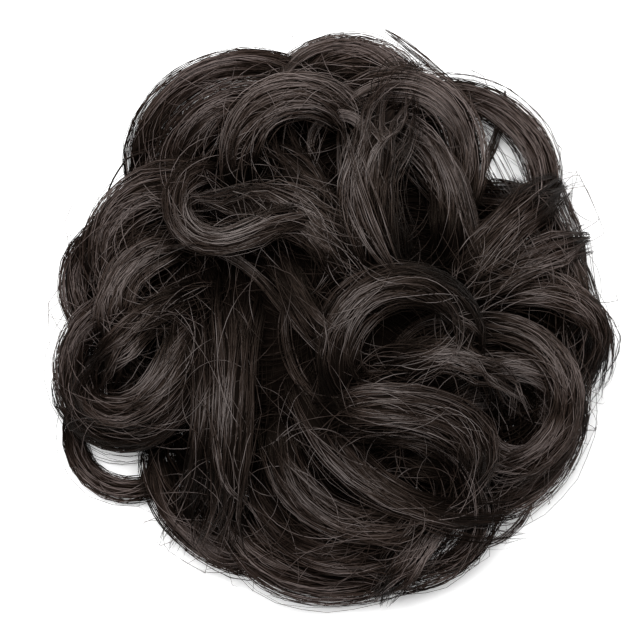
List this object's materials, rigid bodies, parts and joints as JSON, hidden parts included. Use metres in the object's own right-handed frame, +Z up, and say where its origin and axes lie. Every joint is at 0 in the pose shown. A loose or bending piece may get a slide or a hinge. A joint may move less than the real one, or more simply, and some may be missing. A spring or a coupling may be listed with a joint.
{
  "type": "curly top knot hairpiece",
  "caption": "Dark curly messy-bun hairpiece: overlapping curled locks on a hollow gathered hair base with an elastic band underneath.",
  "frame": {"origin": "centre of the elastic band, on the surface that the piece lies on", "axes": "+Z up, away from the surface and out of the curls' top; +Y is the top of the front view, which looks straight down, and +X is its right"},
  "size_m": [0.1502, 0.154, 0.0539],
  "materials": {
    "elastic": "black woven elastic",
    "dark_hair": "glossy dark brown, nearly black, synthetic hair"
  },
  "bodies": {
    "root": {"elastic_band": "elastic", "hair_base": "dark_hair", "under_curl_1": "dark_hair", "under_curl_2": "dark_hair", "under_curl_3": "dark_hair", "under_curl_4": "dark_hair", "under_curl_5": "dark_hair", "under_curl_6": "dark_hair", "under_curl_7": "dark_hair", "under_curl_8": "dark_hair", "lower_left_loop": "dark_hair", "left_small_lobe": "dark_hair", "top_lobe": "dark_hair", "right_lobe": "dark_hair", "lower_right_lobe": "dark_hair", "bottom_left_lobe": "dark_hair", "upper_left_lobe": "dark_hair", "bottom_lobe": "dark_hair", "right_edge": "dark_hair", "upper_right_loop": "dark_hair", "upper_left_inner": "dark_hair", "left_fan": "dark_hair", "left_swirl_outer": "dark_hair", "left_arc": "dark_hair", "bottom_sweep_low": "dark_hair", "bottom_right_wisp": "dark_hair", "bottom_right_tail": "dark_hair", "lower_right_hook": "dark_hair", "right_cup": "dark_hair", "right_limb": "dark_hair", "right_ray_low": "dark_hair", "right_ray_high": "dark_hair", "right_arch": "dark_hair", "top_arch": "dark_hair", "swirl_root": "dark_hair", "swirl_middle": "dark_hair", "swirl_inner": "dark_hair", "thin_fall": "dark_hair", "wide_fall": "dark_hair", "bottom_sweep_mid": "dark_hair", "right_inner": "dark_hair", "right_big_curl": "dark_hair", "inner_fall": "dark_hair", "centre_fall": "dark_hair", "mid_fan": "dark_hair", "mid_curl": "dark_hair", "inner_right_limb": "dark_hair", "upper_fall": "dark_hair", "top_sweep": "dark_hair", "cross_band_low": "dark_hair", "cross_band": "dark_hair", "inner_fan": "dark_hair", "central_curl": "dark_hair"}
  },
  "joints": []
}
